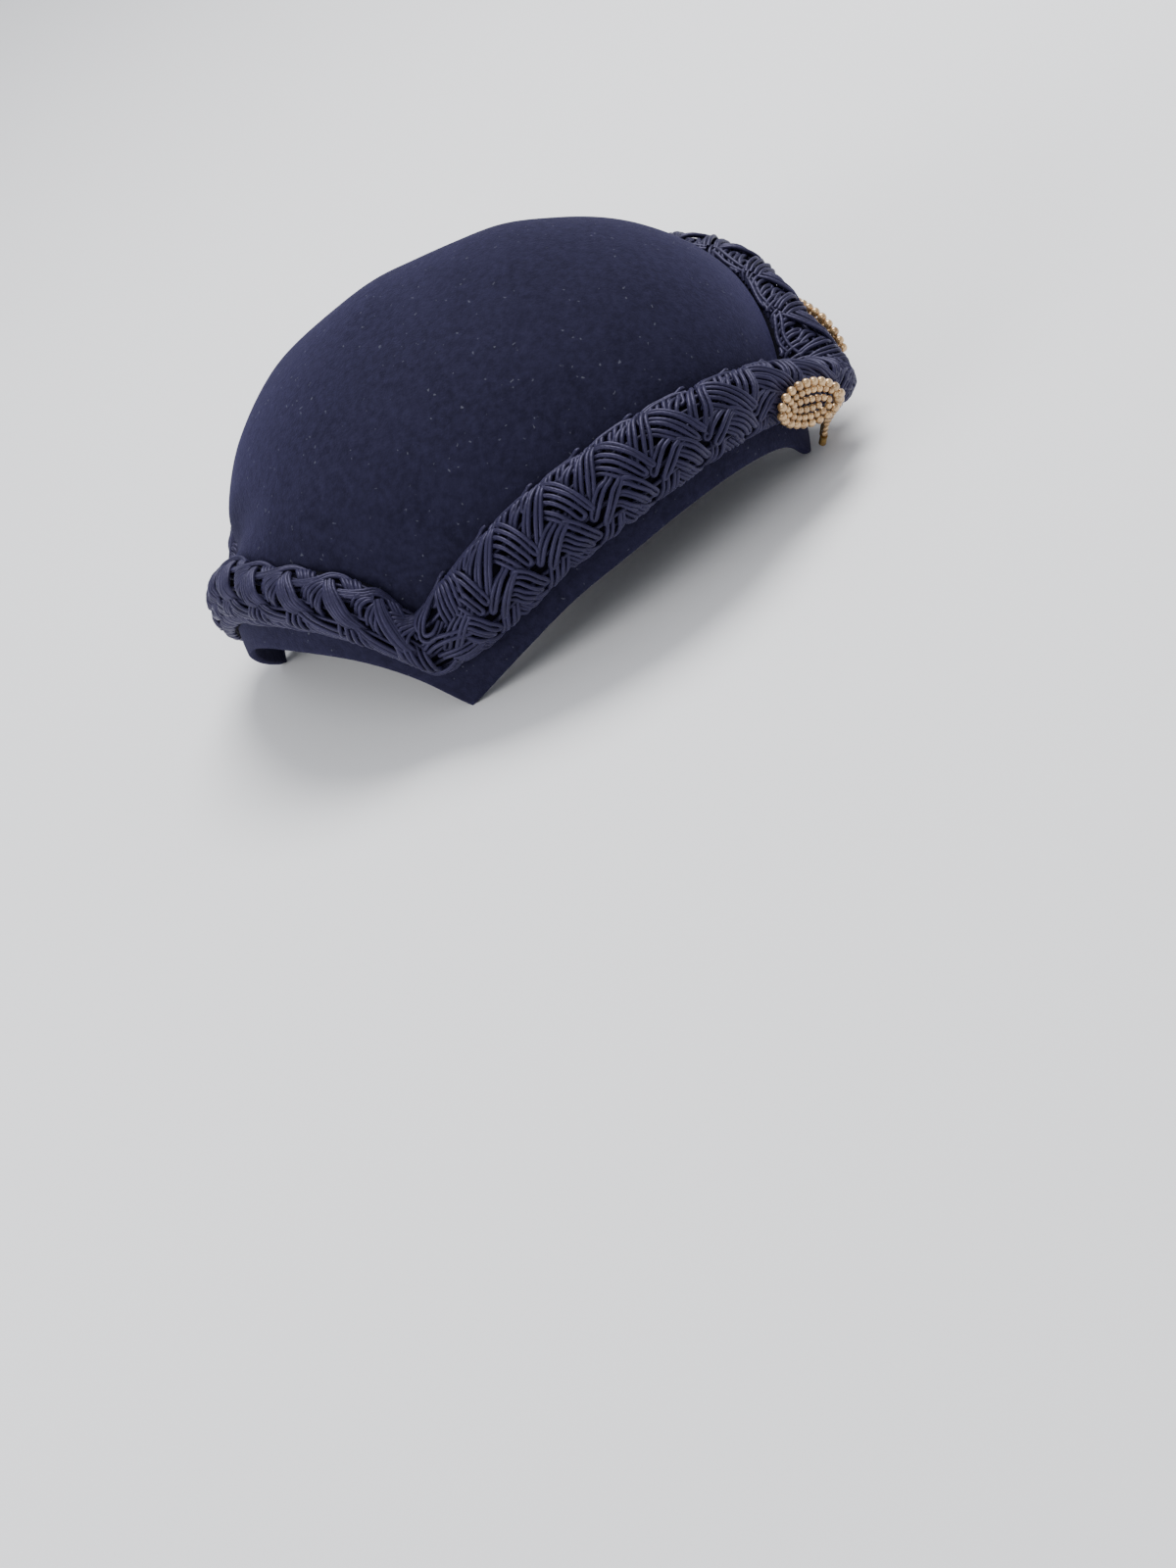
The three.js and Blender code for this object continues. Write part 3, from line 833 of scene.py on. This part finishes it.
def looped(there, back):
    """Two ways made one, that turns back in a small loop at the end."""
    (a, b, c), (d, e, f) = there[-1], back[-1]
    on, up = a - there[-2][0], b - there[-2][1]
    part = LOOP_REACH / math.hypot(on, up * MM_PER_GIRTH)
    tip = ((a + d) / 2 + on * part, (b + e) / 2 + up * part, (c + f) / 2 - LOOP_DIP)
    return there + [tip] + back[::-1]


def lay_sheaf(sheaf, knot, hand, rng, limits=None):
    """The paths of a sheaf's cords about a knot. limits are the run it keeps within."""
    count, paired, first, last = sheaf
    proud = PROUD[hand]
    sway = stray(rng, SHEAF_STRAY)
    ways = []
    for part in sheaf_parts(count, paired):
        slip = stray(rng, CORD_STRAY)
        hump = SHEAF_HUMP * math.sin(math.pi * part)
        way = []
        for ends in zip(first, last or first):
            spot = [a + (b - a) * part + c + d for a, b, c, d in zip(*ends, sway, slip)]
            ahead, up = stray(rng, SPOT_STRAY)
            way.append((spot[0] + ahead, spot[1] + up, spot[2] + hump))
        ways.append(way)
    if paired:
        ways = [looped(*ways[i:i + 2]) for i in range(0, count, 2)]
    paths = []
    for way in ways:
        runs = [knot - spot[0] for spot in way]
        if limits and (min(runs) < limits[0] or max(runs) > limits[1]):
            continue
        girths = [min(max(spot[1], GIRTH_LEAST), GIRTH_MOST) for spot in way]
        lifts = [settle(run, girth, spot[2], proud) for run, girth, spot in zip(runs, girths, way)]
        paths.append(([hand * run for run in runs], girths, lifts))
    return paths


def long_cord(low, high, girth, lift, hand):
    """The path of a long cord from one run to another, swaying up and down a little."""
    steps = int((high - low) / LONG_STEP)
    runs = [low + (high - low) * i / steps for i in range(steps + 1)]
    girths = [girth + 0.015 * math.sin(1.9 * i + 9 * girth) for i in range(steps + 1)]
    return [hand * run for run in runs], girths, [lift] * len(runs)


def half_trim(hand):
    """The cords of one half of the trim: its front run and its rear run."""
    rng = random.Random(TRIM_SEED + hand)
    front, rear = [], []
    for number in range(FRONT_REPEATS):
        knot = SIDE_RUN - FRONT_FIRST - FRONT_REPEAT * (number - 1)
        for name, sheaf in FRONT_CORDS.items():
            if number > 1 or name not in LATE_CORDS:
                front += lay_sheaf(sheaf, knot, hand, rng, FRONT_LIMITS)
    for number in range(REAR_REPEATS):
        knot = SIDE_RUN + REAR_FIRST + REAR_REPEAT * number
        for sheaf in REAR_CORDS.values():
            rear += lay_sheaf(sheaf, knot, hand, rng, REAR_LIMITS)
    for sheaf in SIDE_CORDS:
        front += lay_sheaf(sheaf, SIDE_RUN, hand, rng)
    for girth, lift in LONG_CORDS:
        front.append(long_cord(2, SIDE_RUN + 1, girth, lift, hand))
        rear.append(long_cord(SIDE_RUN - 1, BACK_RUN - 1, girth, lift, hand))
    return front, rear


def laid_paths(paths, clear):
    """Paths given by run, girth and lift, as points in the row's frame."""
    return [to_frame(on_trim(*path, clear)) for path in paths]


# ---- the pearl scrolls ----

# A scroll is an oval coil of pearls on a plane of its own. Its middle is sewn at a turn and a
# girth of the trim, and its plane faces a way off the front and leans down a little.
SCROLL_TURN = 14
SCROLL_GIRTH = {1: 0.36, -1: 0.27}  # the left scroll is sewn on a little lower
SCROLL_FACING, SCROLL_LEAN = 55, -8
SCROLL_DRAPE = 0.45  # 0 follows the trim's round side, 1 hangs flat
SCROLL_LEVEL = 4.5  # how far the trim's bulge reaches out from the scroll's middle
SCROLL_SEAT = 0.3  # from the trim to the pearls
# The trim under a scroll, as turns and girths, and how near a pearl it has to be to bear it.
BEARING_TURNS, BEARING_GIRTHS = np.linspace(-4, 38, 85), np.linspace(0.02, 0.98, 49)
BEARING_GAP, BEARING_LEAST = 0.3, 1.5
BEARING_NONE = -99  # lower than any bearing
BEARING_BLUR = np.full(5, 0.2)
# The coil: its middle towards the front point and up, half its length and width, its slope, how
# much it closes in with each turn after the first half, and how its line wanders.
COIL_MIDDLE = (-1.5, 1.3)
COIL_HALVES = (12.6, 6.9)
COIL_SLOPE = -33
COIL_STEP, COIL_CORE = 2.7, 0.6
COIL_WANDER, COIL_WAVES = 0.5, 7.3
COIL_SPOTS = 24  # in a turn
# Where the outer string begins and ends, and the inner one, in turns of the coil.
COIL_START, COIL_JOIN, COIL_GAP, COIL_END = 0.02, 1.02, 0.045, 2.85
TAIL_TOP = (5.2, 0.16)  # the turn and girth that the tail hangs from
TAIL_END = np.array((-2.4, -101.0, 2.3))
TUBE_SPOTS = (0, 1.3, 2.7, 4)  # from the tail's end
TAIL_GAPS = (1.2, 2.4)  # from the tube to the tail's first pearl, and from its last to the top


def on_side(points, hand):
    """Points for the wearer's right, put on the side that a hand stands for."""
    return points * np.array((hand, 1, 1))


def scroll_axes():
    """The ways out of a scroll's face, towards the front point, and up."""
    facing, lean = math.radians(SCROLL_FACING), math.radians(SCROLL_LEAN)
    level = math.cos(lean)
    out = np.array((-math.sin(facing) * level, -math.cos(facing) * level, math.sin(lean)))
    ahead = np.array((math.cos(facing), -math.sin(facing), 0))
    return out, ahead, np.cross(out, ahead)


def coil_places(first, last):
    """Places on the coil between two of its turns, in millimetres ahead and up."""
    turns = np.linspace(first, last, max(4, int((last - first) * COIL_SPOTS)))
    angle = 2 * np.pi * turns
    closing = COIL_STEP * np.maximum(0, turns - 0.5)
    long, short = ((half - closing) for half in COIL_HALVES)
    wander = COIL_WANDER * np.sin(COIL_WAVES * turns + 1) * np.clip(turns, 0, 1)
    x = (long + wander) * np.cos(angle)
    y = np.maximum(short + wander, COIL_CORE) * np.sin(angle)
    slope = math.radians(COIL_SLOPE)
    ahead = COIL_MIDDLE[0] + x * math.cos(slope) - y * math.sin(slope)
    return ahead, COIL_MIDDLE[1] + x * math.sin(slope) + y * math.cos(slope)


def scroll_string(first, last, diameter, hand):
    """A string of a scroll, on the wearer's right for hand 1 and on the left for hand -1."""
    out, ahead, up = scroll_axes()
    middle = trim_point(np.full(1, SCROLL_TURN), np.full(1, SCROLL_GIRTH[hand]))[0]
    turn, girth = (grid.ravel() for grid in np.meshgrid(BEARING_TURNS, BEARING_GIRTHS))
    side = trim_point(turn, girth) - middle
    side_ahead, side_up, side_out = side @ ahead, side @ up, side @ out
    places = np.stack(coil_places(first, last), -1)
    gaps = np.hypot(side_ahead - places[:, :1], side_up - places[:, 1:])
    near = np.maximum(gaps.min(axis=1, keepdims=True) + BEARING_GAP, BEARING_LEAST)
    reach = np.where(gaps < near, side_out, BEARING_NONE).max(axis=1)
    reach = np.convolve(np.pad(reach, len(BEARING_BLUR) // 2, "edge"), BEARING_BLUR, "valid")
    off = reach + SCROLL_DRAPE * np.maximum(0, SCROLL_LEVEL - reach) + diameter / 2 + SCROLL_SEAT
    path = middle + places[:, :1] * ahead + places[:, 1:] * up + off[:, None] * out
    return on_side(path, hand)


def scroll_strings(outer, inner, hand):
    """The outer string, which begins at the tail, and the inner one that carries on from it."""
    turn, girth = (np.full(1, part) for part in TAIL_TOP)
    top = on_side(trim_point(turn, girth, np.full(1, outer / 2 + SCROLL_SEAT)), hand)
    first = np.concatenate([top, scroll_string(COIL_START, COIL_JOIN, outer, hand)])
    return to_frame(first), to_frame(scroll_string(COIL_JOIN + COIL_GAP, COIL_END, inner, hand))


def tail_paths(top, hand):
    """The hanging tail's string and the tube that ends it, below the first spot of a scroll."""
    end = to_frame(on_side(TAIL_END, hand))[0]
    way = (top - end).normalized() * MM
    tube = [end + way * far for far in TUBE_SPOTS]
    bead = tube[-1] + way * TAIL_GAPS[0]
    return [bead, (bead + top) / 2, top - way * TAIL_GAPS[1]], tube


# ---- properties ----


def length(name, description, default):
    """A size that a user can change."""
    return FloatProperty(name=name, description=description, default=default, unit="LENGTH")


def number(name, description, default):
    """A plain number that a user can change."""
    return FloatProperty(name=name, description=description, default=default)


def tint(name, description, default):
    """A colour that a user can change."""
    return FloatVectorProperty(
        name=name, description=description, default=default, subtype="COLOR"
    )


class CapuletFelt(bpy.types.PropertyGroup):
    """The felt crown."""

    thickness: length("Thickness", "Thickness of the felt", 0.0024)
    stations: IntProperty(name="Stations", description="Sections round the crown", default=232)
    rows: IntProperty(name="Rows", description="Rows of faces from hem to top", default=60)
    colour: tint("Colour", "Colour of the felt", (0.0078, 0.0074, 0.0163))
    lint: number("Lint", "Share of the felt's cells with a speck of lint", 0.16)
    lint_colour: tint("Lint colour", "Colour of the lint", (0.2, 0.21, 0.25))


class CapuletTrim(bpy.types.PropertyGroup):
    """The corded trim."""

    cord: length("Cord", "Diameter of the cords", 0.0014)
    inset: length("Inset", "How far the roll lies under the cords", 0.003)
    twist: number("Twist", "Length of one twist of a cord in millimetres", 1.6)
    colour: tint("Colour", "Colour of the cords", (0.0085, 0.0076, 0.0195))


class CapuletPearls(bpy.types.PropertyGroup):
    """The pearl scrolls."""

    outer: length("Outer pearl", "Diameter of the larger pearls", 0.003)
    inner: length("Inner pearl", "Diameter of the smaller pearls", 0.0024)
    tail: length("Tail pearl", "Diameter of the pearls of the tail", 0.0022)
    tube: length("Tube", "Diameter of the brass tube at the tail's end", 0.0024)
    thread: length("Thread", "Diameter of the thread", 0.0005)
    colour: tint("Colour", "Colour of the pearls", (0.55, 0.355, 0.17))
    # Painted shade: the brown that the pearls are darkened towards in random patches.
    painted_shade_colour: tint("Worn colour", "Colour of the pearls where worn", (0.27, 0.14, 0.055))


class CapuletStage(bpy.types.PropertyGroup):
    """The floor, the lights and the camera."""

    azimuth: number("Azimuth", "The camera's place round the cap in degrees", -70.0)
    elevation: number("Elevation", "The camera's angle above the floor in degrees", 22.0)
    distance: length("Distance", "From the camera to the cap", 1.1)
    aim: FloatVectorProperty(
        name="Aim",
        description="What the camera points at",
        default=(-0.049, 0.0054, -0.0553),
        subtype="XYZ",
    )
    roll: number("Roll", "The camera's turn about its own axis in degrees", -30.84)
    lens: number("Lens", "The camera's focal length in millimetres", 80.2)
    floor_colour: tint("Floor", "Colour of the floor", (0.8, 0.8, 0.81))


# ---- operators ----

HANDS = ((1, "right"), (-1, "left"))
CORD_GAP = 0.15  # the least between a cord and the felt
TONE_SEED = 3
OUTER_PITCH, INNER_PITCH = 1.04, 1.06  # from pearl to pearl, in diameters
CAP_HEIGHT = 0.04  # of the middle that the camera and the lamps are set about
SENSOR, FAR_END = 36, 50
FLOOR_HALF, FLOOR_CORNERS = 6, ((-1, -1), (1, -1), (1, 1), (-1, 1))
SKY_COLOUR, SKY_STRENGTH = (0.9, 0.93, 1.0, 1), 0.68
# The lamps: the way to each as shares of the camera's right, up and back, its distance, its
# size and its power.
LAMPS = {
    "key": ((-0.2, 0.95, 0.12), 1.3, 0.8, 26),
    "fill": ((-0.1, 0.25, 0.95), 1.5, 1.0, 5),
    "side": ((-0.8, -0.35, 0.5), 1.3, 0.7, 11),
}


def piece_along(name, paths, tree, inputs, tones=None):
    """A piece that a tree makes along bare paths."""
    bare = new_object("paths", path_mesh("paths", paths, tones))
    return new_object(name, apply_tree(bare, tree, inputs, name))


def stand_for(obj, slot, *nodes):
    """Puts a finished piece in its CAD nodes' place."""
    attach(obj, "root")
    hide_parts(*nodes)


class CAPULET_OT_crown(bpy.types.Operator):
    """Makes the felt crown"""

    bl_idname = "capulet.crown"
    bl_label = "Felt crown"

    def execute(self, context):
        props = context.scene.capulet_felt
        crown = new_object("felt_crown", crown_mesh(props), felt_finish(props))
        stand_for(crown, "felt", "crown")
        return {"FINISHED"}


class CAPULET_OT_trim(bpy.types.Operator):
    """Makes the corded trim: a roll and the cords laid over it"""

    bl_idname = "capulet.trim"
    bl_label = "Corded trim"

    def execute(self, context):
        props = context.scene.capulet_trim
        inputs = {"Radius": props.cord / 2, "Steps": 4, "Sides": 8, "Material": cord_finish(props)}
        tree = cord_tree()
        roll = new_object("trim_roll", trim_core_mesh(props.inset / MM), roll_finish(props))
        stand_for(roll, "cord", "corded_trim")
        clear = props.cord / MM / 2 + CORD_GAP
        rng = random.Random(TONE_SEED)
        runs = {}
        for hand, name in HANDS:
            runs[f"cords_front_{name}"], runs[f"cords_rear_{name}"] = half_trim(hand)
        runs["cords_points"] = []
        for point in (0, BACK_RUN):
            for sheaf in POINT_CORDS:
                runs["cords_points"] += lay_sheaf(sheaf, point, 1, rng)
        for name, paths in runs.items():
            tones = [rng.random() for _ in paths]
            cords = piece_along(name, laid_paths(paths, clear), tree, inputs, tones)
            stand_for(cords, "cord", "corded_trim")
        return {"FINISHED"}


class CAPULET_OT_pearls(bpy.types.Operator):
    """Makes the pearl scrolls"""

    bl_idname = "capulet.pearls"
    bl_label = "Pearl scrolls"

    def execute(self, context):
        props = context.scene.capulet_pearls
        finish, cotton, brass = pearl_finish(props), thread_finish(), brass_finish()
        strings, sweep = pearl_tree(), cord_tree()
        for hand, name in HANDS:
            outer, inner = scroll_strings(props.outer / MM, props.inner / MM, hand)
            tail, tube = tail_paths(outer[0], hand)
            sewn = [outer, inner, [tube[-1], *tail, outer[0]]]
            for part, path, size, pitch, seed in (
                ("outer", outer, props.outer, OUTER_PITCH, 7),
                ("inner", inner, props.inner, INNER_PITCH, 8),
                ("tail", tail, props.tail, INNER_PITCH, 9),
            ):
                inputs = {"Diameter": size, "Pitch": size * pitch, "Seed": seed, "Material": finish}
                pearls = piece_along(f"pearls_{part}_{name}", [path], strings, inputs)
                stand_for(pearls, "pearl", f"pearl_scroll_{name}")
            for part, paths, width, sides, material in (
                ("thread", sewn, props.thread, 5, cotton),
                ("tube", [tube], props.tube, 16, brass),
            ):
                inputs = {"Radius": width / 2, "Steps": 6, "Sides": sides, "Material": material}
                piece = piece_along(f"{part}_{name}", paths, sweep, inputs)
                stand_for(piece, "pearl", f"pearl_scroll_{name}")
        return {"FINISHED"}


class CAPULET_OT_stage(bpy.types.Operator):
    """Makes the floor, the lights and the camera"""

    bl_idname = "capulet.stage"
    bl_label = "Stage"

    def execute(self, context):
        scene = context.scene
        props = scene.capulet_stage
        turn, climb, roll = map(math.radians, (props.azimuth, props.elevation, props.roll))
        level = math.cos(climb)
        towards = Vector((math.sin(turn) * level, -math.cos(turn) * level, math.sin(climb)))
        camera_data = bpy.data.cameras.new("camera")
        camera_data.lens = props.lens
        camera_data.sensor_width = SENSOR
        camera_data.clip_end = FAR_END
        camera = new_object("camera", camera_data)
        middle = Vector((0, 0, CAP_HEIGHT)) + MIDDLE
        place = middle + towards * props.distance
        back = (place - (Vector(props.aim) + MIDDLE)).normalized()
        right = Vector((0, 0, 1)).cross(back).normalized()
        up = back.cross(right)
        aside = right * math.cos(roll) + up * math.sin(roll)
        upward = up * math.cos(roll) - right * math.sin(roll)
        basis = Matrix((aside, upward, back)).transposed().to_4x4()
        camera.matrix_world = Matrix.Translation(place) @ basis
        scene.camera = camera

        floor_mesh = bpy.data.meshes.new("floor")
        corners = [(x * FLOOR_HALF, y * FLOOR_HALF, 0) for x, y in FLOOR_CORNERS]
        floor_mesh.from_pydata(corners, [], [(0, 1, 2, 3)])
        new_object("floor", floor_mesh, floor_finish(props))

        scene.world = scene.world or bpy.data.worlds.new("world")
        scene.world.use_nodes = True
        sky = scene.world.node_tree.nodes["Background"].inputs
        sky["Color"].default_value = SKY_COLOUR
        sky["Strength"].default_value = SKY_STRENGTH
        for name, (shares, reach, size, power) in LAMPS.items():
            data = bpy.data.lights.new(name, "AREA")
            data.shape = "DISK"
            data.size = size
            data.energy = power
            way = shares[0] * aside + shares[1] * upward + shares[2] * back
            lamp = new_object(name, data)
            lamp.location = middle + way.normalized() * reach
            lamp.rotation_euler = (-way).to_track_quat("-Z", "Y").to_euler()
        return {"FINISHED"}


class CAPULET_PT_panel(bpy.types.Panel):
    """Lists the cap's pieces in the sidebar"""

    bl_label = "Capulet"
    bl_idname = "CAPULET_PT_panel"
    bl_space_type = "VIEW_3D"
    bl_region_type = "UI"
    bl_category = "Capulet"

    def draw(self, context):
        for operator, group in zip(OPERATORS, GROUPS):
            box = self.layout.box()
            box.operator(operator.bl_idname)
            props = getattr(context.scene, group)
            for name in props.__annotations__:
                box.prop(props, name)


# Each operator goes with the properties in its place.
OPERATORS = (CAPULET_OT_crown, CAPULET_OT_trim, CAPULET_OT_pearls, CAPULET_OT_stage)
GROUPS = {
    "capulet_felt": CapuletFelt,
    "capulet_trim": CapuletTrim,
    "capulet_pearls": CapuletPearls,
    "capulet_stage": CapuletStage,
}
CLASSES = (*GROUPS.values(), *OPERATORS, CAPULET_PT_panel)


def register():
    for cls in CLASSES:
        bpy.utils.register_class(cls)
    for name, group in GROUPS.items():
        setattr(bpy.types.Scene, name, PointerProperty(type=group))


def unregister():
    for name in GROUPS:
        delattr(bpy.types.Scene, name)
    for cls in reversed(CLASSES):
        bpy.utils.unregister_class(cls)


def main():
    register()
    bpy.ops.capulet.crown()
    bpy.ops.capulet.trim()
    bpy.ops.capulet.pearls()
    bpy.ops.capulet.stage()


if __name__ == "__main__":
    main()
